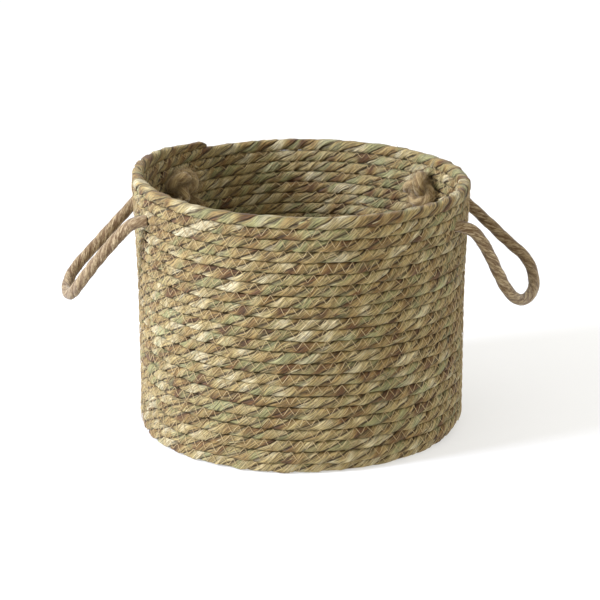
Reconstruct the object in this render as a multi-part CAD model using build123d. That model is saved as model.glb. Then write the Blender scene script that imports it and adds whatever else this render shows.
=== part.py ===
from build123d import *
import os
from math import cos, degrees, pi, radians, sin, sqrt, tan

# Seagrass storage basket. One laid rope is wound as a flat spiral for the base, turns up at
# the corner and climbs as a helix to the rim. Two sewing threads lock each turn to the one
# before it, one on each face. Two jute ropes make the handles: each passes through two holes
# in the wall and is knotted inside.
# Millimetres. +Z is up, the origin is on the floor under the middle of the base, -Y is the
# front and the handles are on -X and +X.

# ---- driving dimensions ----
HEIGHT = 230.0          # floor to the top of the rim where the rope ends
ROPE_DIA = 9.4          # the sewn seagrass rope
BASE_PITCH = 9.5        # from one turn of the base to the next
WALL_RADIUS = 140.0     # rope centreline at the foot of the wall
RIM_FLARE = 4.3         # how much further out the rim is than the foot
FLARE_FROM = 115.0      # height where the wall starts to flare
FLOOR_FLAT = 0.5        # depth of the flat worn under the base turns
END_AZIMUTH = 131.0     # where the rope ends on the rim, from +X towards +Y
BASE_FIRST = -27        # half turn where the rope starts, counted from the corner
CORNER_END = 2          # half turn where the wall starts
RIM_START = 44          # half turn where the rim course starts
RIM_END = 46            # half turn where the rope ends
END_TAPER = 30.0        # length of the rope's tapered end
END_TIP_RADIUS = 1.6

# The corner is one turn that climbs over the last turn of the base. These are the radius
# inside WALL_RADIUS and the climb from the half turn before, for half turns 0 and 1.
CORNER_INSET = {-1: 12.6, 0: 6.34, 1: 3.36}
CORNER_CLIMB = {1: 3.46, 2: 4.03}

THREAD_DIA = 1.0
THREAD_GAP = 0.12       # between a thread and the two turns that it lies against
THREAD_SIDES = 6        # flat sides of a thread's section
THREAD_WALL_START = 3   # half turn where the thread of the wall starts

HANDLE_DIA = 10.4       # the jute rope
HOLE_CLEARANCE = 0.1    # between the jute rope and the hole, on the radius
HOLE_HALF_SPAN = 65.0   # a handle's holes are at this distance each side of the middle
HOLE_HEIGHT = {"left": 199.7, "right": 194.8}
PIVOT_X = {"left": 138.7, "right": 138.5}    # where a loop's rounded ends just clear the wall
STUB_GAP = 0.3          # between a loop and the rope in the hole, which it turns against
KNOT_RADIUS = 11.5
KNOT_GAP = 0.2
TAIL_LENGTH = 26.0
TAIL_END_RADIUS = 7.0
TAIL_OVERLAP = 4.0      # how far up into the knot's outline a tail starts

# The loops at rest, by hand from the front hole round to the back one. They hang out from
# the wall, because the rope is stiff.
LOOP_ROUTE = {
    "left": [
        (-138.7, -65, 199.7), (-149, -60, 193), (-165, -51, 174), (-181, -41, 154),
        (-196, -29, 132), (-206, -11, 117), (-212, 9, 117), (-209, 29, 128),
        (-195, 42, 142), (-177, 51, 160), (-156, 60, 182), (-138.7, 65, 199.7),
    ],
    "right": [
        (138.5, -65, 194.8), (150, -63, 188), (161, -58, 170), (171, -50, 148),
        (182, -41, 127), (194, -25, 115), (207, -4, 116), (211, 17, 125),
        (206, 34, 139), (188, 46, 152), (163, 58, 175), (138.5, 65, 194.8),
    ],
}
RUN_SHARE = 0.45        # how much of the shorter run an arc takes up at each corner

ROPE_R = ROPE_DIA / 2
THREAD_R = THREAD_DIA / 2
HANDLE_R = HANDLE_DIA / 2
WALL_HALF_RISE = (HEIGHT - ROPE_R - (ROPE_R - FLOOR_FLAT) - sum(CORNER_CLIMB.values())) \
    / (RIM_END - CORNER_END)


def station_height(half_turn):
    """Height of the rope's centre at the end of a half turn."""
    floor = ROPE_R - FLOOR_FLAT
    if half_turn <= 0:
        return floor
    if half_turn <= CORNER_END:
        return floor + sum(CORNER_CLIMB[k] for k in range(1, half_turn + 1))
    corner_top = floor + sum(CORNER_CLIMB.values())
    return corner_top + WALL_HALF_RISE * (half_turn - CORNER_END)


def wall_radius(height):
    """Radius of the rope's centre in the wall, which flares above FLARE_FROM."""
    above = max(0.0, height - FLARE_FROM) / (HEIGHT - FLARE_FROM)
    return WALL_RADIUS + RIM_FLARE * above ** 1.5


def station_radius(half_turn):
    """Radius of the rope's centre at the end of a half turn."""
    if half_turn in CORNER_INSET:
        return WALL_RADIUS - CORNER_INSET[half_turn]
    if half_turn < 0:
        return station_radius(half_turn + 2) - BASE_PITCH
    return wall_radius(station_height(half_turn))


def place(half_turn, radius, height):
    """A point beside the rope's half-turn station. Even stations are at END_AZIMUTH and odd
    ones opposite, so each half turn is a true semicircle from one side to the other."""
    side = 1 if half_turn % 2 == 0 else -1
    azimuth = radians(END_AZIMUTH)
    return Vector(side * radius * cos(azimuth), side * radius * sin(azimuth), height)


def heading(half_turn):
    """The rope's direction at a station. The rope runs clockwise, seen from above."""
    side = 1 if half_turn % 2 == 0 else -1
    azimuth = radians(END_AZIMUTH)
    return Vector(side * sin(azimuth), -side * cos(azimuth), 0)


def half_turn_tube(half_turn, start, end, section):
    """A semicircle from start to end with the given cross-section, whose own X points up."""
    direction = heading(half_turn)
    section_plane = Plane(origin=start, x_dir=Vector(0, 0, 1), z_dir=direction)
    axis = Axis((start + end) / 2, direction.cross(end - start).normalized())
    return revolve(section_plane * section, axis, 180)


def rope_section(height, flat):
    """The rope's round section, with its underside flat on the floor if flat is true."""
    section = Circle(ROPE_R)
    if flat:
        section = section & Pos(2 * ROPE_R - height, 0) * Rectangle(4 * ROPE_R, 4 * ROPE_R)
    return section


def rope_turns(first, last, flat=False):
    """The rope from one half-turn station to another, as one solid."""
    solid = None
    for k in range(first, last):
        start = place(k, station_radius(k), station_height(k))
        end = place(k + 1, station_radius(k + 1), station_height(k + 1))
        tube = half_turn_tube(k, start, end, rope_section(start.Z, flat))
        solid = tube if solid is None else solid + tube
    return solid


def thread_station(half_turn, face):
    """Radius and height of a thread at a station: in the groove between the turn that ends
    there and the turn before, on the outer face (1) or the inner one (-1)."""
    out_r = station_radius(half_turn) - station_radius(half_turn - 2)
    out_z = station_height(half_turn) - station_height(half_turn - 2)
    length = sqrt(out_r ** 2 + out_z ** 2)
    middle_r = (station_radius(half_turn) + station_radius(half_turn - 2)) / 2
    middle_z = (station_height(half_turn) + station_height(half_turn - 2)) / 2
    reach = ROPE_R + THREAD_R + THREAD_GAP
    shift = face * sqrt(reach ** 2 - (length / 2) ** 2) / length
    return middle_r + shift * out_z, middle_z - shift * out_r


def thread(first, last, face):
    """One sewing thread, from one half-turn station to another. Its section has flat sides,
    which keeps the mesh of so long a thread small."""
    section = RegularPolygon(THREAD_R, THREAD_SIDES)
    solid = None
    for k in range(first, last):
        start = place(k, *thread_station(k, face))
        end = place(k + 1, *thread_station(k + 1, face))
        tube = half_turn_tube(k, start, end, section)
        solid = tube if solid is None else solid + tube
    return solid


def side_sign(side):
    return -1 if side == "left" else 1


def knot_x(side):
    """How far out a knot's centre is: just inside the wall."""
    inside = wall_radius(HOLE_HEIGHT[side]) - ROPE_R - KNOT_GAP - KNOT_RADIUS
    return sqrt(inside ** 2 - HOLE_HALF_SPAN ** 2)


def along_x(side, radius, near, far, y):
    """A round bar along X, from near to far, at the height of a side's holes."""
    sign = side_sign(side)
    middle = sign * (near + far) / 2
    bar = Rot(0, 90, 0) * Cylinder(radius, far - near)
    return Pos(middle, y, HOLE_HEIGHT[side]) * bar


def holes():
    """The four holes through the wall, as solids to cut away."""
    radius = HANDLE_R + HOLE_CLEARANCE
    cuts = []
    for side in ("left", "right"):
        for end in (-1, 1):
            cuts.append(along_x(side, radius, knot_x(side), PIVOT_X[side], end * HOLE_HALF_SPAN))
    return cuts


def handle_knot(side, end):
    """The rope in the hole with the round knot that holds it inside the wall, turned in one
    piece about the hole's axis."""
    stub_length = PIVOT_X[side] - HANDLE_R - STUB_GAP - knot_x(side)
    neck = sqrt(KNOT_RADIUS ** 2 - HANDLE_R ** 2)
    outline = ThreePointArc((-KNOT_RADIUS, 0), (0, KNOT_RADIUS), (neck, HANDLE_R))
    outline += Polyline((neck, HANDLE_R), (stub_length, HANDLE_R), (stub_length, 0),
                        (-KNOT_RADIUS, 0))
    knot = revolve(make_face(outline), Axis.X, 360)
    if side == "left":
        knot = mirror(knot, Plane.YZ)
    return Pos(side_sign(side) * knot_x(side), end * HOLE_HALF_SPAN, HOLE_HEIGHT[side]) * knot


def handle_tail(side, end):
    """The frayed end that hangs from a knot, widening downwards."""
    tail = Cone(TAIL_END_RADIUS, HANDLE_R, TAIL_LENGTH)
    x = side_sign(side) * knot_x(side)
    top = HOLE_HEIGHT[side] - KNOT_RADIUS + TAIL_OVERLAP
    placed = Pos(x, end * HOLE_HALF_SPAN, top - TAIL_LENGTH / 2) * tail
    return placed - handle_knot(side, end)


def loop_radii(points):
    """Arc radius at each inner point of a route, as large as its two runs allow."""
    radii = []
    for before, here, after in zip(points, points[1:], points[2:]):
        shorter = min((here - before).length, (after - here).length)
        turn = radians((here - before).get_angle(after - here))
        radii.append(RUN_SHARE * shorter / tan(turn / 2))
    return radii


def handle_loop(side):
    """One handle's loop outside the wall: straight runs joined by tangent arcs, with rounded
    ends on the line that it swings about."""
    points = [Vector(*p) for p in LOOP_ROUTE[side]]
    radii = loop_radii(points)
    path = FilletPolyline(*points, radius=radii)
    start_plane = Plane(origin=points[0], z_dir=points[1] - points[0])
    tube = sweep(start_plane * Circle(HANDLE_R), path=path)
    section = pi * HANDLE_R ** 2
    print(side, "loop length", round(path.length, 1),
          "volume / (section x length)", round(tube.volume / (section * path.length), 4),
          "radii", [round(r, 1) for r in radii])
    for point in (points[0], points[-1]):
        tube = tube + Pos(*point) * Sphere(HANDLE_R)
    return tube


def rim_rope_end():
    """The rope's tapered end, sewn down on the start of the rim course."""
    start = place(RIM_END, station_radius(RIM_END), station_height(RIM_END))
    swing = degrees(END_TAPER / station_radius(RIM_END))
    chord = heading(RIM_END).rotate(Axis.Z, -swing / 2) * END_TAPER
    tip = start + chord - Vector(0, 0, ROPE_R - END_TIP_RADIUS)
    root_plane = Plane(origin=start, z_dir=heading(RIM_END))
    tip_plane = Plane(origin=tip, z_dir=heading(RIM_END).rotate(Axis.Z, -swing))
    return loft([root_plane * Circle(ROPE_R), tip_plane * Circle(END_TIP_RADIUS)])


def build():
    nodes = {}
    nodes["base_turn_01"] = rope_turns(BASE_FIRST, BASE_FIRST + 3, flat=True)
    for number, first in enumerate(range(BASE_FIRST + 3, 0, 2), start=2):
        nodes[f"base_turn_{number:02d}"] = rope_turns(first, first + 2, flat=True)
    nodes["corner_turn"] = rope_turns(0, CORNER_END, flat=True)
    cuts = holes()
    for number, first in enumerate(range(CORNER_END, RIM_START, 2), start=1):
        course = rope_turns(first, first + 2)
        middle = (station_height(first) + station_height(first + 2)) / 2
        if any(abs(middle - height) < 2 * ROPE_DIA for height in HOLE_HEIGHT.values()):
            course = course - cuts
        nodes[f"wall_course_{number:02d}"] = course
    nodes["rim_course"] = rope_turns(RIM_START, RIM_END)
    nodes["rim_rope_end"] = rim_rope_end()

    nodes["base_outer_thread"] = thread(BASE_FIRST + 2, 0, 1)
    nodes["base_inner_thread"] = thread(BASE_FIRST + 2, 0, -1)
    nodes["wall_outer_thread"] = thread(THREAD_WALL_START, RIM_END, 1) - cuts
    nodes["wall_inner_thread"] = thread(THREAD_WALL_START, RIM_END, -1) - cuts

    for side in ("left", "right"):
        nodes[f"{side}_handle_loop"] = handle_loop(side)
        for end, end_name in ((-1, "front"), (1, "back")):
            nodes[f"{side}_{end_name}_knot"] = handle_knot(side, end)
            nodes[f"{side}_{end_name}_tail"] = handle_tail(side, end)
    return nodes


os.makedirs("parts", exist_ok=True)
for name, shape in build().items():
    export_step(shape, f"parts/{name}.step")
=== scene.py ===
from math import cos, pi, radians, sin

import bpy
import numpy as np
from mathutils import Euler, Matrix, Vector


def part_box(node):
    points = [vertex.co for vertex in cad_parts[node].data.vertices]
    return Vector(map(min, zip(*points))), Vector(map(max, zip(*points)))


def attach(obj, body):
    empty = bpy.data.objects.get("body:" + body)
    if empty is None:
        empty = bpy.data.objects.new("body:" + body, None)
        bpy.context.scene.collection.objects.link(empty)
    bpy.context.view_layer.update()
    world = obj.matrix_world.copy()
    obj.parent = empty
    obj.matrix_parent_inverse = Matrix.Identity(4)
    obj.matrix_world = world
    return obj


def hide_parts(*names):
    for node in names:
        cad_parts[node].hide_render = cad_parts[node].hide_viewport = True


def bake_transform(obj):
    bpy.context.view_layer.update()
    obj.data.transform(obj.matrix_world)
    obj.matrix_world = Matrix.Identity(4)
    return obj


# A coiled seagrass basket with two jute rope handles. Everything is in metres, in the frame
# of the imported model: +Z up, -Y the front, the handles on -X and +X.

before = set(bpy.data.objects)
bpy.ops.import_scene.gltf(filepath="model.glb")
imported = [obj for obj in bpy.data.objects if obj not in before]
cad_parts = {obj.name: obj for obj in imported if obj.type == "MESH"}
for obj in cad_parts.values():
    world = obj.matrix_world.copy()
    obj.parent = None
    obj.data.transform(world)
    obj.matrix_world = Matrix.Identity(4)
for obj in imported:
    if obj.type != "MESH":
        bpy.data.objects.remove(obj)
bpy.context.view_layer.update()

SEED = 7
MM = 0.001

# The rope's winding, as in the CAD model, except that it starts half a turn earlier, which
# fills the middle of the base, and that the corner turn lies lower and starts further in. The
# courses above it share the height. A station is the end of a half turn. Even stations
# are at END_AZIMUTH, odd ones opposite, and the rope runs clockwise seen from above.
END_AZIMUTH = radians(131)
BASE_FIRST = -27            # where the CAD model's rope starts
BASE_START = BASE_FIRST - 1
BASE_END = 0
CORNER_END = 2
RIM_START = 44
RIM_END = 46
BASE_TURNS = 13
WALL_COURSES = 21
ROPE_R = 4.7 * MM
FLOOR_FLAT = 0.5 * MM       # depth of the flat worn under the base turns
BASE_PITCH = 9.5 * MM
WALL_RADIUS = 140 * MM
RIM_FLARE = 4.3 * MM
FLARE_FROM = 115 * MM
FLARE_POWER = 1.5
HEIGHT = 230 * MM
CORNER_INSET = {-1: 12.4 * MM, 0: 8.5 * MM, 1: 3.3 * MM}
CORNER_CLIMB = {1: 0.8 * MM, 2: 2.8 * MM}
END_TAPER = 7 * MM
RIM_THIN = 0.62             # thickness where the last half turn ends, as a share of the rope's
RIM_THIN_FROM = 0.93        # share of the rim's turn after which the rope thins
END_THIN = 0.30             # thickness of the sewn-down tip
END_POWER = 1.3             # how late the tip thins

# How far the rim stands off a level helix: everywhere, more at the back, more at the right.
WARP_EVEN = 0.4 * MM
WARP_BACK = 4.1 * MM
WARP_RIGHT = -1.8 * MM
WARP_POWER = 1.5            # how late it sets in with height

# The foot stands fuller at the front left: how much wider, up to what height, and where.
FOOT_SPREAD = 0.034
FOOT_FADE = 28 * MM
FOOT_AZIMUTH = radians(240)

# The seagrass rope: two twisted strands, each of several blades.
GRASS_LAY = 43 * MM         # length of one full twist of the two strands
GRASS_LAY_SWING = 0.36      # how much slower the grooves cross a face than they pass a seam
GRASS_R = 5.0 * MM
GRASS_SQUARE = 3.6          # 2 is a round rope, more is pressed flat on its four sides
GRASS_SHARE = 0.86          # a strand's radius, as a share of the rope's
GRASS_COLUMNS = 30          # mesh columns over one strand
GRASS_ROWS = 12             # fewest mesh rows of a piece
ROW_STEP = 1.4 * MM         # length of a mesh row along the rope
GROOVE = 0.75 * MM          # the sharp groove where two strands meet
GROOVE_WIDTH = 0.075        # as a share of half a strand
BLADE_WIDTH = 3.4 * MM
BLADE_RISE = 0.34 * MM
BLADE_CREASE = 0.34 * MM
CREASE_WIDTH = 0.13         # as a share of a blade
BLADE_RUN = 9.0             # blades that wind over a strand's face in a metre
WRINKLE = 0.17 * MM
WRINKLE_ROWS = 3.1          # wrinkles over a blade
CONTACT = 5.0 * MM          # just over half the pitch, so that pressed ropes leave no gap
PRESSED_FROM = 0.72         # sine of the slant at which a side starts to face its neighbour
PRESSED_OVER = 0.22         # how much more sine until it is pressed full
UPRIGHT_FROM = 1.5          # station from which the neighbours are above and below
UNDERSIDE = 0.30 * MM       # height of the rope's flattened underside over the floor
UNDERSIDE_ROUGH = 0.12 * MM
GROOVE_SHADE, EDGE_SHADE, CREASE_SHADE = 0.40, 0.95, 0.30    # how dark each kind of dip is
DEEPEST = 0.98              # greatest depth of a dip, under 1 as it is stored as a fraction

# How much the rope varies, and the length over which each variation changes.
WANDER, WANDER_LENGTH = 0.55 * MM, 55 * MM        # in and out
DRIFT, DRIFT_LENGTH = 0.25 * MM, 70 * MM          # up and down
LAY_SLIP, LAY_SLIP_LENGTH = 0.95, 46 * MM         # radians of twist
PLUMP, PLUMP_LENGTH = 0.14, 17 * MM               # share of a strand's thickness
BLADE_SLIP, BLADE_SLIP_LENGTH = 0.55, 34 * MM     # blades round a strand
RISE_LENGTH = 30 * MM
WRINKLE_LENGTH = 9 * MM

# The zigzag sewing.
STITCH_LENGTH = 9.8 * MM
STITCH_TOP = 1.2 * MM       # apex above the seam
STITCH_FOOT = 5.6 * MM      # foot below the seam
STITCH_FOOT_INSIDE = 3.4 * MM
STITCH_STRAY = 0.9 * MM     # how far a corner strays along the seam
STITCH_UNEVEN = 0.8 * MM    # and across it
TALL_FROM = 0.35            # noise above which stitches are taller
TALL_LENGTH = 0.11          # length over which that changes
LEG_POINTS = 4              # points of the thread to a leg of the zigzag
SEWING_SPLIT = 24           # station where the wall's zigzag is divided in two pieces
THREAD_R = 0.24 * MM
THREAD_SIDES = 5
THREAD_STAND = 1.05         # how far off the rope's middle it runs, as a share of GRASS_R

# The handles. The routes' points are those of the CAD model, with one more point inside the
# wall at each end.
HANDLE_R = 5.2 * MM
HANDLE_LAY = 54 * MM
HANDLE_SHARE = 0.87         # a strand's radius, as a share of the rope's
HANDLE_COLUMNS = 22
HANDLE_STEP = 1.2 * MM
ROUTES = {
    "left": [
        (-138.7, -65, 199.7), (-149, -60, 193), (-165, -51, 174), (-181, -41, 154),
        (-196, -29, 132), (-206, -11, 117), (-212, 9, 117), (-209, 29, 128),
        (-195, 42, 142), (-177, 51, 160), (-156, 60, 182), (-138.7, 65, 199.7),
    ],
    "right": [
        (138.5, -65, 194.8), (150, -63, 188), (161, -58, 170), (171, -50, 148),
        (182, -41, 127), (194, -25, 115), (207, -4, 116), (211, 17, 125),
        (206, 34, 139), (188, 46, 152), (163, 58, 175), (138.5, 65, 194.8),
    ],
}
INSIDE_WALL = 8 * MM        # how far the handle rope is drawn into its hole
HANDLE_HAIRS = 240
HANDLE_HAIR_LENGTH = 9 * MM
HANDLE_HAIR_R = 0.055 * MM
HAIRLESS_END = 0.10         # share of the handle's rope at each end without hairs

# Jute rope of handles and knots.
JUTE_STRANDS = 3
JUTE_SLIP, JUTE_SLIP_LENGTH = 0.25, 30 * MM       # radians of twist
JUTE_PLUMP, JUTE_PLUMP_LENGTH = 0.035, 12 * MM    # share of the thickness
JUTE_RIDGE, JUTE_RIDGE_LENGTH = 0.12 * MM, 20 * MM
JUTE_RIDGE_ROWS = 5.5       # ridges over a radian of a strand
JUTE_YARN = 2 * MM          # width of a yarn, the material's unit across a strand

# Hairs on jute.
HAIR_ROWS = 6
HAIR_SIDES = 4
HAIR_TIP = 0.35             # a hair's thickness at its tip, as a share of its root's
HAIR_SHORTEST = 0.35        # as a share of the longest
HAIR_ROOT = 0.97            # where it starts, as a share of the rope's radius
HAIR_SWING = 0.5
HAIR_LIFT = 0.4
HAIR_BEND = 0.75 * pi
HAIR_TONES = 60             # how many different tones there are

# The knots, overhand knots of the handle rope.
KNOT_ROPE_R = 5.6 * MM
KNOT_SCALE = 4.3 * MM
KNOT_DEPTH = 1.15           # how deep the knot is towards the wall, as a share of the scale
KNOT_OPEN = 0.42            # radians of the knot's curve left out where its two ends leave
KNOT_POINTS = 60
KNOT_REACH = 19 * MM        # from the knot's middle outward to where its rope starts
KNOT_STEP = 1.0 * MM
KNOT_SHARE = 0.78
KNOT_LAY = 40 * MM
KNOT_COLUMNS = 16
KNOT_HAIRS = 900
KNOT_HAIR_LENGTH = 13 * MM
KNOT_HAIR_R = 0.17 * MM
KNOT_HAIR_LEAN = 0.8
TAIL_FIBRES = 110
TAIL_FIBRE_R = 0.42 * MM
TAIL_LENGTH = 24 * MM
TAIL_SHORTEST = 0.55        # as a share of TAIL_LENGTH
TAIL_SPREAD = (0.7, 1.9)    # at the tips, as a share of the rope's radius
TAIL_WAVE = 0.9 * MM
TAIL_ROWS = 8
# Side, end, turn of the knot in the wall's plane, and lean of its tail towards +X and +Y.
KNOTS = [
    ("left", "front", 0.4, (0.1, 0.2)),
    ("left", "back", 0.0, (0.95, -0.35)),
    ("right", "front", -0.4, (-0.1, 0.2)),
    ("right", "back", 1.2, (-0.15, -0.1)),
]

# Slivers of blade that have lifted off the rope: ranges of slant in radians, and of length,
# half width, lift of the tip and height of the middle over the rope's, in millimetres.
SLIVERS = {"outer": 420, "inner": 260}
SLIVER_SLANT = (0.15, 0.6)
SLIVER_LENGTH = (9, 26)
SLIVER_WIDTH = (0.5, 1.3)
SLIVER_LIFT = (0.2, 1.6)
SLIVER_PLACE = (-3.5, 2.5)
SLIVER_THICK = 0.12 * MM
SLIVER_SUNK = 0.55 * MM
SLIVER_ROWS = 9

# Face of the wall, and the direction in which it looks.
FACES = {"outer": 1, "inner": -1}

# The studio.
CAMERA_PLACE = (0, -1.672, 0.613)
CAMERA_PITCH = radians(16.76)       # downward
CAMERA_ROLL = radians(0.13)
CAMERA_LENS = 116.7                 # millimetres, like the sensor
CAMERA_SENSOR = 36
KEY_PLACE = (-2.1, -0.85, 1.35)
KEY_SIZE = 0.8
KEY_POWER = 104
KEY_COLOUR = (0.93, 0.985, 1.20)
SKY_COLOUR = (1.0, 0.985, 0.95, 1)
SKY_STRENGTH = 0.97
FLOOR_HALF = 6.0
FLOOR_TONES = [(0.3, (0.49, 0.49, 0.485)), (0.7, (0.51, 0.51, 0.507))]
FLOOR_GLOW = 0.48                   # the floor gives off light, which keeps the shadow faint

LATTICE_SIDE = 256

rng = np.random.default_rng(SEED)
LATTICE = rng.uniform(-1, 1, (LATTICE_SIDE, LATTICE_SIDE))


# ---- small helpers ----

def noise(x, y=0.0, channel=0):
    """Smooth noise from -1 to 1 that changes over about one unit of x and y. Each channel
    is a far part of the same lattice."""
    x = np.asarray(x, float) + 37.7 * channel
    y = np.asarray(y, float) + 19.3 * channel
    column, row = np.floor(x).astype(int), np.floor(y).astype(int)
    right, up = x - column, y - row
    right, up = right * right * (3 - 2 * right), up * up * (3 - 2 * up)
    column, row = column % LATTICE_SIDE, row % LATTICE_SIDE
    next_column, next_row = (column + 1) % LATTICE_SIDE, (row + 1) % LATTICE_SIDE
    low = LATTICE[column, row] * (1 - right) + LATTICE[next_column, row] * right
    high = LATTICE[column, next_row] * (1 - right) + LATTICE[next_column, next_row] * right
    return low * (1 - up) + high * up


def unit(vectors):
    return vectors / np.linalg.norm(vectors, axis=-1, keepdims=True)


def grid_faces(tubes, rows, columns):
    """Quads of closed tubes of rows x columns points, and a face over each end."""
    index = np.arange(tubes * rows * columns).reshape(tubes, rows, columns)
    beside = np.roll(index, -1, axis=2)
    quads = np.stack([index[:, :-1], beside[:, :-1], beside[:, 1:], index[:, 1:]], axis=-1)
    caps = np.concatenate([index[:, 0, ::-1], index[:, -1]])
    return quads.reshape(-1, 4), caps


def tubes_object(name, tubes, material, grain):
    """One object of many closed tubes: an array of tubes x rows x columns x 3, whose columns
    go round counter-clockwise as seen against the tube's direction. grain is one vector per
    point, for the material."""
    if tubes.ndim == 3:
        tubes = tubes[None]
        grain = grain[None]
    count, rows, columns = tubes.shape[:3]
    quads, caps = grid_faces(count, rows, columns)
    corners = np.concatenate([quads.ravel(), caps.ravel()])
    sizes = np.concatenate([np.full(len(quads), 4), np.full(len(caps), columns)])
    mesh = bpy.data.meshes.new(name)
    mesh.vertices.add(count * rows * columns)
    mesh.vertices.foreach_set("co", tubes.ravel())
    mesh.loops.add(len(corners))
    mesh.loops.foreach_set("vertex_index", corners)
    mesh.polygons.add(len(sizes))
    mesh.polygons.foreach_set("loop_start", np.concatenate([[0], np.cumsum(sizes)[:-1]]))
    mesh.polygons.foreach_set("use_smooth", np.full(len(sizes), True))
    mesh.update(calc_edges=True)
    attribute = mesh.attributes.new("grain", "FLOAT_VECTOR", "POINT")
    attribute.data.foreach_set("vector", grain.ravel())
    mesh.materials.append(material)
    piece = bpy.data.objects.new(name, mesh)
    bpy.context.scene.collection.objects.link(piece)
    return piece


def even_points(points, step):
    """The same line with its points about step apart."""
    lengths = np.concatenate([[0], np.cumsum(np.linalg.norm(np.diff(points, axis=0), axis=1))])
    stations = np.linspace(0, lengths[-1], max(3, int(lengths[-1] / step) + 1))
    return np.stack([np.interp(stations, lengths, points[:, i]) for i in range(3)], axis=1)


def spline_points(route, step):
    """Points along the smooth NURBS line that has the route's points as its control points."""
    curve = bpy.data.curves.new("route", "CURVE")
    curve.dimensions = "3D"
    curve.resolution_u = 24
    spline = curve.splines.new("NURBS")
    spline.points.add(len(route) - 1)
    for point, place in zip(spline.points, route):
        point.co = (*place, 1)
    spline.order_u = 3
    spline.use_endpoint_u = True
    holder = bpy.data.objects.new("route", curve)
    bpy.context.scene.collection.objects.link(holder)
    mesh = bpy.data.meshes.new_from_object(holder)
    points = np.array([vertex.co[:] for vertex in mesh.vertices])
    bpy.data.objects.remove(holder)
    bpy.data.curves.remove(curve)
    bpy.data.meshes.remove(mesh)
    return even_points(points, step)


def path_frames(points, first_side):
    """A sideways and an upward unit vector at each point of a line, carried along it
    without twist."""
    tangents = unit(np.gradient(points, axis=0))
    side = np.array(first_side, float)
    sides = []
    for tangent in tangents:
        side = unit(side - tangent * side.dot(tangent))
        sides.append(side)
    sides = np.array(sides)
    return sides, np.cross(tangents, sides)


def laid_section(strands, share, columns):
    """A laid rope's outline: for each column its angle, its distance from the rope's middle
    as a share of the rope's radius, and its angle round its own strand. The columns crowd
    a little towards the grooves."""
    half = pi / strands
    crowding, span = 0.85, 0.985
    across = np.linspace(-1, 1, columns)
    across = np.sign(across) * np.abs(across) ** crowding * span
    centre = 1 - share
    angles, reach, round_strand = [], [], []
    for strand in range(strands):
        angle = across * half
        distance = centre * np.cos(angle) + np.sqrt(share ** 2 - (centre * np.sin(angle)) ** 2)
        angles.append(angle + 2 * half * strand)
        reach.append(distance)
        round_strand.append(np.arctan2(distance * np.sin(angle), distance * np.cos(angle) - centre))
    return np.concatenate(angles), np.concatenate(reach), np.concatenate(round_strand)


def thin_tubes(lines, radius, sides, taper):
    """Round tubes along lines (tubes x rows x 3). taper is a share of the radius by row."""
    tangents = unit(np.gradient(lines, axis=1))
    helper = np.where(np.abs(tangents[..., 2:3]) > 0.9, [1.0, 0.0, 0.0], [0.0, 0.0, 1.0])
    side = unit(np.cross(helper, tangents))
    up = np.cross(tangents, side)
    angle = np.arange(sides) * 2 * pi / sides
    size = radius * taper[None, :, None, None]
    ring = np.cos(angle)[:, None] * side[:, :, None] + np.sin(angle)[:, None] * up[:, :, None]
    return lines[:, :, None] + size * ring


# ---- materials ----

# Each rope's mesh has a "grain": metres along its strand, blades or yarns across it, and the
# strand's number, whose fraction is how deep the point lies in a groove or crease, which the
# materials paint as shade. The three numbers by which scaled() multiplies them are noise
# cells per metre, per blade and per strand.

def shader(name):
    material = bpy.data.materials.new(name)
    material.use_nodes = True
    tree = material.node_tree
    return material, tree, tree.nodes["Principled BSDF"]


def node(tree, kind, inputs=None, **settings):
    made = tree.nodes.new(kind)
    for key, value in settings.items():
        setattr(made, key, value)
    for key, value in (inputs or {}).items():
        if isinstance(value, bpy.types.NodeSocket):
            tree.links.new(value, made.inputs[key])
        else:
            made.inputs[key].default_value = value
    return made


def math(tree, operation, a, b=0.0):
    return node(tree, "ShaderNodeMath", {0: a, 1: b}, operation=operation).outputs[0]


def ramp(tree, value, stops):
    made = node(tree, "ShaderNodeValToRGB", {"Fac": value})
    elements = made.color_ramp.elements
    while len(elements) < len(stops):
        elements.new(0.5)
    for element, (position, colour) in zip(elements, stops):
        element.position = position
        element.color = (*colour, 1)
    return made.outputs["Color"]


def grain_parts(tree):
    grain = node(tree, "ShaderNodeAttribute", attribute_name="grain")
    parts = node(tree, "ShaderNodeSeparateXYZ", {0: grain.outputs["Vector"]})
    return parts.outputs


def scaled(tree, x, y, z, by):
    """A vector of three sockets, each multiplied by its own number."""
    values = [math(tree, "MULTIPLY", part, factor) for part, factor in zip((x, y, z), by)]
    return node(tree, "ShaderNodeCombineXYZ", dict(enumerate(values))).outputs[0]


def noise_node(tree, vector, detail, roughness=0.5, scale=1.0):
    inputs = {"Vector": vector, "Scale": scale, "Detail": detail, "Roughness": roughness}
    return node(tree, "ShaderNodeTexNoise", inputs).outputs["Fac"]


def ranged(tree, value, low, high, bottom, top):
    """The value's stretch from low to high, spread from bottom to top and clamped."""
    inputs = {"Value": value, 1: low, 2: high, 3: bottom, 4: top}
    return node(tree, "ShaderNodeMapRange", inputs).outputs[0]


def mixed(tree, factor, a, b, blend="MIX"):
    made = node(tree, "ShaderNodeMix", data_type="RGBA", blend_type=blend)
    for socket, value in zip((made.inputs[0], made.inputs[6], made.inputs[7]), (factor, a, b)):
        if isinstance(value, bpy.types.NodeSocket):
            tree.links.new(value, socket)
        else:
            socket.default_value = value if isinstance(value, float) else (*value, 1)
    return made.outputs[2]


def bumped(tree, bsdf, height, strength, distance):
    inputs = {"Height": height, "Strength": strength, "Distance": distance}
    bump = node(tree, "ShaderNodeBump", inputs)
    tree.links.new(bump.outputs[0], bsdf.inputs["Normal"])


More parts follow.
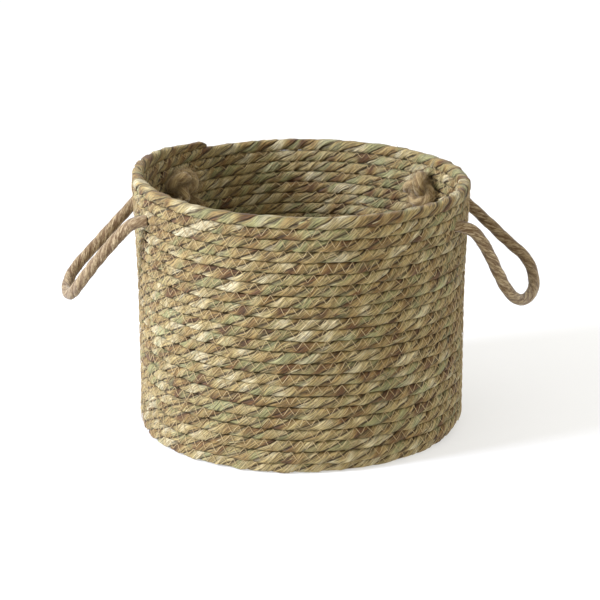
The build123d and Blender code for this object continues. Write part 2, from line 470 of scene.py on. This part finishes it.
def coated(tree, bsdf, colour, values):
    """Links the colour and sets the shader's other sockets to plain values."""
    tree.links.new(colour, bsdf.inputs["Base Color"])
    for socket, value in values.items():
        bsdf.inputs[socket].default_value = value


GRASS_TONES = [
    (0.02, (0.120, 0.056, 0.015)),    # old brown blade
    (0.18, (0.205, 0.122, 0.036)),
    (0.36, (0.278, 0.186, 0.062)),    # straw
    (0.50, (0.330, 0.237, 0.088)),
    (0.64, (0.335, 0.258, 0.102)),
    (0.82, (0.425, 0.338, 0.158)),    # cream
    (1.00, (0.510, 0.435, 0.250)),
]
GRASS_GREEN = (0.248, 0.255, 0.105)
GRASS_SPOT = (0.20, 0.115, 0.050)
# colour of the painted shade in the seagrass rope's grooves and creases
GRASS_PAINTED_SHADE = (0.032, 0.015, 0.005)
THREAD_TONES = [(0.30, (0.30, 0.200, 0.080)), (0.5, (0.43, 0.310, 0.135)), (0.7, (0.53, 0.405, 0.200))]
JUTE_TONES = [
    (0.38, (0.120, 0.074, 0.030)), (0.46, (0.260, 0.184, 0.090)),
    (0.54, (0.400, 0.305, 0.170)), (0.62, (0.560, 0.450, 0.275)),
]
# colour of the jute rope's brown mottling, and of the painted shade in its grooves
JUTE_SPOTS_AND_SHADE = (0.090, 0.043, 0.013)
FIBRE_TONES = [(0.36, (0.17, 0.106, 0.040)), (0.48, (0.38, 0.272, 0.118)), (0.62, (0.60, 0.470, 0.245))]
# colour of the fibres' and knots' brown mottling, and of the painted shade in the knots' grooves
FIBRE_SPOTS_AND_SHADE = (0.13, 0.070, 0.025)


def seagrass_material():
    """Twisted blades: a tone that changes along each strand and a little from blade to blade,
    some greener stretches, fine lengthwise veins, small brown spots, and painted brown shade in
    the grooves and creases."""
    material, tree, bsdf = shader("seagrass")
    along, across, strand = grain_parts(tree)
    blade = math(tree, "FLOOR", across)
    number = math(tree, "FLOOR", strand)
    depth = math(tree, "FRACT", strand)
    own = noise_node(tree, scaled(tree, along, blade, number, (26, 5.37, 3.71)), 1.5)
    wide = noise_node(tree, scaled(tree, along, blade, number, (46, 0.13, 9.13)), 1.0)
    tone = math(tree, "ADD", math(tree, "MULTIPLY", own, 0.60), math(tree, "MULTIPLY", wide, 2.75))
    tone = math(tree, "SUBTRACT", tone, 1.165)
    colour = ramp(tree, tone, GRASS_TONES)
    green = noise_node(tree, scaled(tree, along, blade, number, (34, 0.15, 4.4)), 1.0)
    colour = mixed(tree, ranged(tree, green, 0.54, 0.66, 0.0, 0.7), colour, GRASS_GREEN)
    vein = noise_node(tree, scaled(tree, along, across, number, (95, 3.6, 2.7)), 5.0, 0.8)
    shade = ranged(tree, vein, 0.38, 0.60, 0.14, 1.38)
    grey = node(tree, "ShaderNodeCombineColor", dict.fromkeys(range(3), shade))
    colour = mixed(tree, 1.0, colour, grey.outputs[0], "MULTIPLY")
    spots = noise_node(tree, scaled(tree, along, across, number, (330, 3.1, 1.9)), 3.0, 0.7)
    colour = mixed(tree, ranged(tree, spots, 0.60, 0.78, 0.0, 0.45), colour, GRASS_SPOT)
    # painted shade: darker the deeper a point lies in a groove, at a groove's edge or in a crease
    colour = mixed(tree, ranged(tree, depth, 0.10, 0.92, 0.0, 0.88), colour, GRASS_PAINTED_SHADE)
    coated(tree, bsdf, colour, {"Roughness": 0.62, "Specular IOR Level": 0.32, "Sheen Weight": 0.06})
    bumped(tree, bsdf, vein, 0.8, 0.9 * MM)
    return material


def thread_material():
    """Spun thread: tan, with the slant of its twist and small changes of tone."""
    plies_per_metre = 1400.0
    material, tree, bsdf = shader("thread")
    along, across, number = grain_parts(tree)
    tone = noise_node(tree, scaled(tree, along, across, number, (45, 0.2, 3.3)), 2.0)
    turns = math(tree, "ADD", math(tree, "MULTIPLY", along, plies_per_metre), across)
    ply = math(tree, "SINE", math(tree, "MULTIPLY", turns, 2 * pi))
    coated(tree, bsdf, ramp(tree, tone, THREAD_TONES), {"Roughness": 0.7, "Sheen Weight": 0.15})
    bumped(tree, bsdf, ply, 0.35, 0.15 * MM)
    return material


def jute_material(name, tones, spots_and_shade, mottle):
    """Jute: fine fibres along the strands, brown mottling in short streaks, and painted shade in the
    grooves.
    """
    material, tree, bsdf = shader(name)
    along, across, strand = grain_parts(tree)
    number = math(tree, "FLOOR", strand)
    depth = math(tree, "FRACT", strand)
    fibre = noise_node(tree, scaled(tree, along, across, number, (55, 9, 2.3)), 4.0, 0.6)
    streak = noise_node(tree, scaled(tree, along, across, number, (62, 1.5, 5.9)), 3.0, 0.6)
    tone = math(tree, "ADD", math(tree, "MULTIPLY", fibre, 0.6), math(tree, "MULTIPLY", streak, 0.4))
    colour = ramp(tree, tone, tones)
    patch = noise_node(tree, scaled(tree, along, across, number, (210, 1.7, 7.7)), 3.0, 0.7)
    colour = mixed(tree, ranged(tree, patch, 0.47, 0.54, 0.0, mottle), colour, spots_and_shade)
    # painted shade: darker the deeper a point lies between the strands
    colour = mixed(tree, ranged(tree, depth, 0.35, 0.95, 0.0, 0.7), colour, spots_and_shade)
    coated(tree, bsdf, colour, {"Roughness": 0.82, "Specular IOR Level": 0.2, "Sheen Weight": 0.25})
    bumped(tree, bsdf, fibre, 0.6, 0.5 * MM)
    return material


def floor_material():
    material, tree, bsdf = shader("pale_floor")
    place = node(tree, "ShaderNodeTexCoord").outputs["Object"]
    colour = ramp(tree, noise_node(tree, place, 2.0, scale=3.0), FLOOR_TONES)
    coated(tree, bsdf, colour, {
        "Roughness": 0.9, "Emission Color": (1.0, 1.0, 0.99, 1), "Emission Strength": FLOOR_GLOW})
    return material


GRASS = seagrass_material()
THREAD = thread_material()
JUTE = jute_material("jute_rope", JUTE_TONES, JUTE_SPOTS_AND_SHADE, 0.80)
FIBRE = jute_material("jute_fibre", FIBRE_TONES, FIBRE_SPOTS_AND_SHADE, 0.50)


# ---- the handles ----

def laid_rope(points, radius, share, lay, columns, first_side):
    """Rows of points of a jute rope along a line, and the grain of each point."""
    sides, ups = path_frames(points, first_side)
    angle, reach, round_strand = laid_section(JUTE_STRANDS, share, columns)
    steps = np.linalg.norm(np.diff(points, axis=0), axis=1)
    length = np.concatenate([[0], np.cumsum(steps)])[:, None]
    turn = 2 * pi * length / lay + JUTE_SLIP * noise(length / JUTE_SLIP_LENGTH)
    thick = 1 + JUTE_PLUMP * noise(length / JUTE_PLUMP_LENGTH, angle / 2)
    ridges = noise(length / JUTE_RIDGE_LENGTH, round_strand * JUTE_RIDGE_ROWS, 3)
    size = radius * reach * thick + JUTE_RIDGE * ridges
    around = angle - turn
    rows = points[:, None] + size[..., None] * (
        np.cos(around)[..., None] * sides[:, None] + np.sin(around)[..., None] * ups[:, None])
    number = np.repeat(np.arange(JUTE_STRANDS), columns)
    across = round_strand * radius * share / JUTE_YARN
    # how deep a point lies in a groove, which the material paints as shade
    deep = np.clip((1 - reach) / (1 - reach.min()), 0, DEEPEST)
    grain = np.stack(np.broadcast_arrays(length, across, number + deep), axis=-1)
    return rows, grain


def surface_hairs(points, radius, count, reach, generator, lean=0.5):
    """Lines of fine fibres that lift off a rope's surface: hairs x rows x 3. lean is how
    much they lie along the rope."""
    sides, ups = path_frames(points, (0.3, 0.2, 1.0))
    tangents = unit(np.gradient(points, axis=0))
    at = generator.integers(2, len(points) - 2, count)
    angle = generator.uniform(0, 2 * pi, count)
    normal = np.cos(angle)[:, None] * sides[at] + np.sin(angle)[:, None] * ups[at]
    around = -np.sin(angle)[:, None] * sides[at] + np.cos(angle)[:, None] * ups[at]
    length = reach * generator.uniform(HAIR_SHORTEST, 1.0, count)[:, None]
    forward = generator.choice([-1.0, 1.0], count)[:, None]
    swing = generator.uniform(-1, 1, (count, 1))
    curl = generator.uniform(0.15, 1.0, (count, 1))
    lines = []
    for step in np.linspace(0, 1, HAIR_ROWS):
        sideways = tangents[at] * forward * lean + around * swing * HAIR_SWING
        lines.append(points[at] + normal * radius * HAIR_ROOT + length * step * sideways
                     + normal * length * curl * HAIR_LIFT * np.sin(step * HAIR_BEND))
    return np.stack(lines, axis=1)


def hairs_object(name, lines, radius, material, generator):
    """One object of many thin fibres, each with a tone of its own."""
    taper = np.linspace(1.0, HAIR_TIP, lines.shape[1])
    tubes = thin_tubes(lines, radius, HAIR_SIDES, taper)
    number = generator.integers(0, HAIR_TONES, len(lines))[:, None, None] * 1.0
    along = np.linspace(0, 0.02, lines.shape[1])[None, :, None]
    across = np.arange(HAIR_SIDES)[None, None, :] * 0.2
    grain = np.stack(np.broadcast_arrays(along, across, number), axis=-1)
    return tubes_object(name, tubes, material, grain)


def handle(side, route, generator):
    """A handle's rope, which bends where it leaves the wall, and the fibres on it."""
    sign = -1 if side == "left" else 1
    places = [tuple(x * MM for x in point) for point in route]
    inner = [(x - sign * INSIDE_WALL, y, z) for x, y, z in (places[0], places[-1])]
    line = spline_points([inner[0], *places, inner[1]], HANDLE_STEP)
    rows, grain = laid_rope(line, HANDLE_R, HANDLE_SHARE, HANDLE_LAY, HANDLE_COLUMNS, (0, 0, 1))
    loop = tubes_object(f"{side}_handle_rope", rows, JUTE, grain)
    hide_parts(f"{side}_handle_loop")
    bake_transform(loop)
    hairless = int(HAIRLESS_END * len(line))
    free = line[hairless:int((1 - HAIRLESS_END) * len(line))]
    fuzz = surface_hairs(free, HANDLE_R, HANDLE_HAIRS, HANDLE_HAIR_LENGTH, generator)
    fuzz = hairs_object(f"{side}_handle_fuzz", fuzz, HANDLE_HAIR_R, FIBRE, generator)
    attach(fuzz, f"{side}_handle")


for side, route in ROUTES.items():
    handle(side, route, rng)


# ---- the seagrass rope ----

def station_height(k):
    if k <= 0:
        return ROPE_R - FLOOR_FLAT
    if k <= CORNER_END:
        return ROPE_R - FLOOR_FLAT + sum(CORNER_CLIMB[i] for i in range(1, k + 1))
    start = ROPE_R - FLOOR_FLAT + sum(CORNER_CLIMB.values())
    return start + (HEIGHT - ROPE_R - start) / (RIM_END - CORNER_END) * (k - CORNER_END)


def station_radius(k):
    if k in CORNER_INSET:
        return WALL_RADIUS - CORNER_INSET[k]
    if k < 0:
        return station_radius(k + 2) - BASE_PITCH
    above = max(0.0, station_height(k) - FLARE_FROM) / (HEIGHT - FLARE_FROM)
    return WALL_RADIUS + RIM_FLARE * above ** FLARE_POWER


STATIONS = np.arange(BASE_FIRST - 2, RIM_END + 3)
STATION_R = np.array([station_radius(int(k)) for k in STATIONS])
STATION_Z = np.array([station_height(int(k)) for k in STATIONS])


def winding(turns):
    """The rope's centre as radius, height and azimuth at places counted in half turns."""
    return (np.interp(turns, STATIONS, STATION_R), np.interp(turns, STATIONS, STATION_Z),
            END_AZIMUTH - pi * turns)


def to_space(radius, azimuth, height):
    """A point from its radius, azimuth and height, with the sag of the rim towards the front
    right and its rise at the back left, which fade to nothing at the floor, and the fuller
    foot at the front left."""
    spread = FOOT_SPREAD * np.clip(1 - height / FOOT_FADE, 0, 1)
    radius = radius * (1 + spread * np.maximum(0, np.cos(azimuth - FOOT_AZIMUTH)) ** 2)
    warp = WARP_EVEN + WARP_BACK * np.sin(azimuth) + WARP_RIGHT * np.cos(azimuth)
    height = height + warp * np.clip(height / HEIGHT, 0, 1) ** WARP_POWER
    return np.stack([radius * np.cos(azimuth), radius * np.sin(azimuth), height], axis=-1)


# Where the rope is at finely spaced stations, and its length up to there.
FINE = np.linspace(BASE_START, RIM_END + 1, 24001)
fine_r, fine_z, fine_a = winding(FINE)
fine_points = to_space(fine_r, fine_a, fine_z)
fine_steps = np.linalg.norm(np.diff(fine_points, axis=0), axis=1)
FINE_LENGTH = np.concatenate([[0], np.cumsum(fine_steps)])
FINE_LENGTH = FINE_LENGTH - np.interp(BASE_FIRST, FINE, FINE_LENGTH)

# The rope's outline, by column: angle, reach, angle round the strand, the strand, how near
# the column is to the groove's edge, and a number by which materials tell the strands apart.
SECTION_ANGLE, SECTION_REACH, SECTION_ROUND = laid_section(2, GRASS_SHARE, GRASS_COLUMNS)
SECTION_STRAND = np.repeat([0, 1], GRASS_COLUMNS)
section_across = np.abs(SECTION_ANGLE - pi * SECTION_STRAND) / (pi / 2)
SECTION_EDGE = np.exp(-((1 - section_across) / GROOVE_WIDTH) ** 2)
SECTION_NUMBER = SECTION_STRAND * 31 + 3


def pressed(offset, lean, limit):
    """The rope's side pressed against its neighbour: no further out than limit, and filled
    out to it where the side faces the neighbour."""
    facing = np.clip((np.abs(lean) - PRESSED_FROM) / PRESSED_OVER, 0, 1)
    filled = np.maximum(np.abs(offset), limit * facing ** 0.5 * np.abs(lean))
    return np.sign(offset) * np.minimum(filled, limit)


def strand_surface(length):
    """The strands' surface before it is pressed, by row and column: distance from the rope's
    middle, place counted in blades, wrinkles, and depth in grooves and creases, which becomes
    painted shade. Added multiples of the strand keep the two strands' noise apart."""
    plump = 1 + PLUMP * noise(length / PLUMP_LENGTH, SECTION_STRAND * 9.5 + 0.5, 5)
    blade = SECTION_ROUND * GRASS_SHARE * GRASS_R / BLADE_WIDTH
    slip = noise(length / BLADE_SLIP_LENGTH, SECTION_STRAND * 7.5 + 0.5, 6)
    blade = blade + BLADE_SLIP * slip + length * BLADE_RUN
    cell = np.floor(blade)
    within = blade - cell
    crease = np.exp(-(within / CREASE_WIDTH) ** 2) + np.exp(-((1 - within) / CREASE_WIDTH) ** 2)
    rise = noise(length / RISE_LENGTH, cell + 40.0 * SECTION_STRAND, 7)
    wrinkle = noise(length / WRINKLE_LENGTH, blade * WRINKLE_ROWS + 11 * SECTION_STRAND, 8)
    reach = GRASS_R * SECTION_REACH * plump + BLADE_RISE * rise - BLADE_CREASE * crease \
        - GROOVE * SECTION_EDGE + WRINKLE * wrinkle
    groove = np.clip((1 - SECTION_REACH) / (1 - SECTION_REACH.min()), 0, 1) ** 2
    shade = GROOVE_SHADE * groove + EDGE_SHADE * SECTION_EDGE + CREASE_SHADE * crease
    return reach, blade, wrinkle, np.clip(shade, 0, DEEPEST)


def grass_rows(first, last, thin=None):
    """Rows of points of the rope from one place in half turns to another, and their grain.
    thin gives the rope's thickness at each row as a share of the full one."""
    start, end = np.interp([first, last], FINE, FINE_LENGTH)
    length = np.linspace(start, end, max(GRASS_ROWS, int((end - start) / ROW_STEP)))
    turns = np.interp(length, FINE_LENGTH, FINE)
    radius, height, azimuth = winding(turns)
    size = np.ones(len(length)) if thin is None else thin((length - start) / (end - start))
    radius = radius + WANDER * noise(length / WANDER_LENGTH, 0.5, 1)
    height = height + DRIFT * noise(length / DRIFT_LENGTH, 0.5, 2) - (1 - size) * ROPE_R
    turn = 2 * pi * length / GRASS_LAY + LAY_SLIP * noise(length / LAY_SLIP_LENGTH, 0.5, 4)
    turn = turn + GRASS_LAY_SWING / 2 * np.sin(2 * turn)
    length, turn, size = length[:, None], turn[:, None], size[:, None]
    around = SECTION_ANGLE - turn
    reach, blade, wrinkle, deep = strand_surface(length)
    square = np.abs(np.cos(around)) ** GRASS_SQUARE + np.abs(np.sin(around)) ** GRASS_SQUARE
    reach = reach * size / square ** (1 / GRASS_SQUARE)
    outward, upward = reach * np.cos(around), reach * np.sin(around)
    base = np.clip((UPRIGHT_FROM - turns) / (UPRIGHT_FROM - BASE_END), 0, 1)[:, None]
    limit = CONTACT * size
    upward = upward * base + pressed(upward, np.sin(around), limit) * (1 - base)
    outward = outward * (1 - base) + pressed(outward, np.cos(around), limit) * base
    z = np.maximum(height[:, None] + upward, UNDERSIDE + UNDERSIDE_ROUGH * wrinkle)
    rows = to_space(radius[:, None] + outward, azimuth[:, None], z)
    grain = np.stack(np.broadcast_arrays(length, blade, SECTION_NUMBER + deep), axis=-1)
    return rows, grain


def grass_piece(name, cad_node, first, last, thin=None):
    rows, grain = grass_rows(first, last, thin)
    piece = tubes_object(name, rows, GRASS, grain)
    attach(piece, "root")
    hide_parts(cad_node)


def rim_thickness(share):
    late = np.clip((share - RIM_THIN_FROM) / (1 - RIM_THIN_FROM), 0, 1)
    return 1 - (1 - RIM_THIN) * late * late * (3 - 2 * late)


def end_thickness(share):
    return RIM_THIN - (RIM_THIN - END_THIN) * np.clip(share, 0, 1) ** END_POWER


grass_piece("base_rope_01", "base_turn_01", BASE_START, BASE_FIRST + 3)
for number in range(2, BASE_TURNS + 1):
    first = BASE_FIRST + 3 + 2 * (number - 2)
    grass_piece(f"base_rope_{number:02d}", f"base_turn_{number:02d}", first, first + 2)
grass_piece("corner_rope", "corner_turn", BASE_END, CORNER_END)
for number in range(1, WALL_COURSES + 1):
    first = CORNER_END + 2 * (number - 1)
    grass_piece(f"wall_rope_{number:02d}", f"wall_course_{number:02d}", first, first + 2)
grass_piece("rim_rope", "rim_course", RIM_START, RIM_END, rim_thickness)
end_share = END_TAPER / (pi * station_radius(RIM_END))
grass_piece("rim_rope_tip", "rim_rope_end", RIM_END, RIM_END + end_share, end_thickness)


# ---- the sewing ----

def seam_point(turns, face, above):
    """Where a thread lies on a seam: above is its height over the seam, from the older turn
    (below) towards the newer, and face is 1 on the outside and -1 on the inside."""
    new_r, new_z, azimuth = winding(turns)
    old_r, old_z, _ = winding(turns - 2)
    length = np.hypot(new_r - old_r, new_z - old_z)
    step_r, step_z = (new_r - old_r) / length, (new_z - old_z) / length
    reach = THREAD_STAND * GRASS_R + THREAD_R
    older = np.maximum(reach ** GRASS_SQUARE - np.abs(above + length / 2) ** GRASS_SQUARE, 0)
    newer = np.maximum(reach ** GRASS_SQUARE - np.abs(above - length / 2) ** GRASS_SQUARE, 0)
    stand = face * np.maximum(older, newer) ** (1 / GRASS_SQUARE)
    radius = (new_r + old_r) / 2 + above * step_r + stand * step_z
    height = (new_z + old_z) / 2 + above * step_z - stand * step_r
    return to_space(radius, azimuth, np.maximum(height, THREAD_R))


def zigzag(first, last, face, generator):
    """The centre line of the zigzag along a stretch of seam."""
    start, end = np.interp([first, last], FINE, FINE_LENGTH)
    legs = 2 * int((end - start) / STITCH_LENGTH)
    corner = np.linspace(start, end, legs + 1)
    corner = corner + generator.uniform(-1, 1, legs + 1) * STITCH_STRAY
    foot = STITCH_FOOT if face == 1 else STITCH_FOOT_INSIDE
    level = np.where(np.arange(legs + 1) % 2 == 0, STITCH_TOP, -foot)
    level = level + generator.uniform(-1, 1, legs + 1) * STITCH_UNEVEN
    tall = np.clip(noise(corner / TALL_LENGTH, face * 3.5, 9) - TALL_FROM, 0, 1) * foot
    level = level - np.where(level < 0, tall, 0)
    count = np.arange(legs * LEG_POINTS + 1) / LEG_POINTS
    length = np.interp(count, np.arange(legs + 1), corner)
    above = np.interp(count, np.arange(legs + 1), level)
    turns = np.interp(length, FINE_LENGTH, FINE)
    return seam_point(turns, face, above)


def seam_piece(name, cad_node, first, last, face, generator):
    line = zigzag(first, last, face, generator)
    sides, ups = path_frames(line, (0, 0, 1))
    angle = np.arange(THREAD_SIDES) * 2 * pi / THREAD_SIDES
    rows = line[:, None] + THREAD_R * (
        np.cos(angle)[:, None] * sides[:, None] + np.sin(angle)[:, None] * ups[:, None])
    length = np.arange(len(line))[:, None] * STITCH_LENGTH / (2 * LEG_POINTS)
    grain = np.stack(np.broadcast_arrays(length, angle / (2 * pi), first + 40.0), axis=-1)
    piece = tubes_object(name, rows, THREAD, grain)
    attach(piece, "root")
    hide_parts(cad_node)


for face_name, face in FACES.items():
    seam_piece(f"base_{face_name}_stitching", f"base_{face_name}_thread",
               BASE_FIRST + 3, CORNER_END, face, rng)
    for part, (first, last) in enumerate([(CORNER_END, SEWING_SPLIT), (SEWING_SPLIT, RIM_END)], 1):
        seam_piece(f"wall_{face_name}_stitching_{part}", f"wall_{face_name}_thread",
                   first, last, face, rng)


# ---- the knots and frayed tails inside ----

def knot_line(centre, out, along, turn):
    """The line of an overhand knot: in from the wall, round, and down."""
    t = np.linspace(pi + KNOT_OPEN, 3 * pi - KNOT_OPEN, KNOT_POINTS)
    lobes = np.stack([np.sin(t) + 2 * np.sin(2 * t), np.cos(t) - 2 * np.cos(2 * t),
                      -KNOT_DEPTH * np.sin(3 * t)], axis=1) * KNOT_SCALE
    spun_x = lobes[:, 0] * cos(turn) - lobes[:, 1] * sin(turn)
    spun_y = lobes[:, 0] * sin(turn) + lobes[:, 1] * cos(turn)
    up = np.array([0, 0, 1.0])
    knot = centre + spun_x[:, None] * along + spun_y[:, None] * up - lobes[:, 2:3] * out
    wall_side = centre + out * KNOT_REACH
    inward = np.linspace(0, 1, 7)[:-1, None] * (knot[0] - wall_side) + wall_side
    return even_points(np.concatenate([inward, knot]), KNOT_STEP)


def frayed_tail(start, down, generator):
    """Fibres that spread from a rope's cut end: fibres x rows x 3."""
    angle = generator.uniform(0, 2 * pi, TAIL_FIBRES)
    near = np.sqrt(generator.uniform(0, 1, TAIL_FIBRES))
    spread = near * generator.uniform(*TAIL_SPREAD, TAIL_FIBRES)
    length = generator.uniform(TAIL_SHORTEST, 1.0, TAIL_FIBRES) * TAIL_LENGTH
    side = unit(np.cross(down, [0.3, 1.0, 0.2]))
    other = np.cross(down, side)
    ring = np.cos(angle)[:, None] * side + np.sin(angle)[:, None] * other
    lines = []
    for step in np.linspace(0, 1, TAIL_ROWS):
        wave = TAIL_WAVE * noise(np.arange(TAIL_FIBRES) * 3.7, step * 3.0 + 0.5, 11)[:, None]
        lines.append(start + ring * KNOT_ROPE_R * (near * 0.9 + spread * step ** 1.4)[:, None]
                     + down * (length * step)[:, None] + side * wave)
    return np.stack(lines, axis=1)


def knot_pieces(side, end, turn, lean, generator):
    """A knotted rope end inside the wall: the knot, its frayed end, and its loose fibres."""
    low, high = (np.array(corner[:]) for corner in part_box(f"{side}_{end}_knot"))
    sign = -1 if side == "left" else 1
    ball = (high[2] - low[2]) / 2
    inner_x = high[0] if side == "left" else low[0]
    centre = np.array([inner_x + sign * ball, (low[1] + high[1]) / 2, (low[2] + high[2]) / 2])
    out = unit(np.array([centre[0], centre[1], 0.0]))
    along = np.array([-out[1], out[0], 0.0])
    line = knot_line(centre, out, along, turn)
    rows, grain = laid_rope(line, KNOT_ROPE_R, KNOT_SHARE, KNOT_LAY, KNOT_COLUMNS, (0.2, 0.1, 1))
    knot = tubes_object(f"{side}_{end}_knotted_rope", rows, FIBRE, grain)
    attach(knot, "root")
    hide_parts(f"{side}_{end}_knot")
    down = unit(np.array([lean[0], lean[1], -1.0]))
    tail = frayed_tail(line[-1], down, generator)
    tail = hairs_object(f"{side}_{end}_frayed_end", tail, TAIL_FIBRE_R, FIBRE, generator)
    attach(tail, "root")
    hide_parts(f"{side}_{end}_tail")
    fuzz = surface_hairs(line, KNOT_ROPE_R, KNOT_HAIRS, KNOT_HAIR_LENGTH, generator, KNOT_HAIR_LEAN)
    fuzz = hairs_object(f"{side}_{end}_knot_fuzz", fuzz, KNOT_HAIR_R, FIBRE, generator)
    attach(fuzz, "root")


for side, end, turn, lean in KNOTS:
    knot_pieces(side, end, turn, lean, rng)


# ---- loose blades ----

def loose_blades(name, count, face, generator):
    """Slivers of blade that have lifted off the rope, as thin flat tubes."""
    turns = generator.uniform(CORNER_END + 0.5, RIM_END - 0.2, count)
    slant = generator.uniform(*SLIVER_SLANT, count)
    length = generator.uniform(*SLIVER_LENGTH, count) * MM
    width = generator.uniform(*SLIVER_WIDTH, count) * MM
    lift = generator.uniform(*SLIVER_LIFT, count) * MM
    begin = generator.uniform(*SLIVER_PLACE, count) * MM
    radius, height, azimuth = winding(turns)
    rows = []
    for step in np.linspace(0, 1, SLIVER_ROWS):
        run = (step - 0.5) * length
        rise = begin + run * np.sin(slant)
        away = GRASS_R - SLIVER_SUNK - rise ** 2 / (2 * GRASS_R) + lift * step ** 3
        spin = azimuth + run * np.cos(slant) / radius
        middle = to_space(radius + face * away, spin, height + rise)
        normal = np.stack([np.cos(spin), np.sin(spin), 0 * spin], axis=-1)
        along = np.stack([-np.sin(spin), np.cos(spin), 0 * spin], axis=-1)
        across = -np.sin(slant)[:, None] * along + np.cos(slant)[:, None] * np.array([0, 0, 1.0])
        wide = (width * (1 - 0.85 * step ** 2) * min(1.0, 0.35 + 4 * step))[:, None]
        thick = SLIVER_THICK * normal
        ring = [middle + wide * across, middle + thick, middle - wide * across, middle - thick]
        rows.append(np.stack(ring, axis=1))
    tubes = np.stack(rows, axis=1)
    number = (generator.integers(0, 200, count) * 1.0)[:, None, None]
    along = np.linspace(0, 0.03, SLIVER_ROWS)[None, :, None]
    across = np.array([0.2, 0.5, 0.8, 0.5])[None, None, :]
    grain = np.stack(np.broadcast_arrays(along, across, number), axis=-1)
    piece = tubes_object(name, tubes, GRASS, grain)
    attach(piece, "root")


for face_name, count in SLIVERS.items():
    loose_blades(f"loose_blades_{face_name}", count, FACES[face_name], rng)


# ---- floor, light and camera ----

def link(piece):
    bpy.context.scene.collection.objects.link(piece)


def floor():
    mesh = bpy.data.meshes.new("floor")
    corners = [(x * FLOOR_HALF, y * FLOOR_HALF, 0) for x, y in ((-1, -1), (1, -1), (1, 1), (-1, 1))]
    mesh.from_pydata(corners, [], [(0, 1, 2, 3)])
    mesh.materials.append(floor_material())
    piece = bpy.data.objects.new("floor", mesh)
    link(piece)


def key_light():
    light = bpy.data.lights.new("key", "AREA")
    light.shape = "DISK"
    light.size = KEY_SIZE
    light.energy = KEY_POWER
    light.color = KEY_COLOUR
    lamp = bpy.data.objects.new("key", light)
    lamp.location = KEY_PLACE
    towards = Vector((0, 0, HEIGHT / 2)) - Vector(KEY_PLACE)
    lamp.rotation_euler = towards.to_track_quat("-Z", "Y").to_euler()
    link(lamp)


def sky():
    world = bpy.data.worlds.new("studio")
    world.use_nodes = True
    background = world.node_tree.nodes["Background"]
    background.inputs["Color"].default_value = SKY_COLOUR
    background.inputs["Strength"].default_value = SKY_STRENGTH
    bpy.context.scene.world = world


def camera():
    data = bpy.data.cameras.new("camera")
    data.lens = CAMERA_LENS
    data.sensor_width = CAMERA_SENSOR
    eye = bpy.data.objects.new("camera", data)
    eye.location = CAMERA_PLACE
    eye.rotation_euler = Euler((pi / 2 - CAMERA_PITCH, CAMERA_ROLL, 0))
    link(eye)
    bpy.context.scene.camera = eye


floor()
key_light()
sky()
camera()
bpy.context.scene.view_settings.view_transform = "Standard"
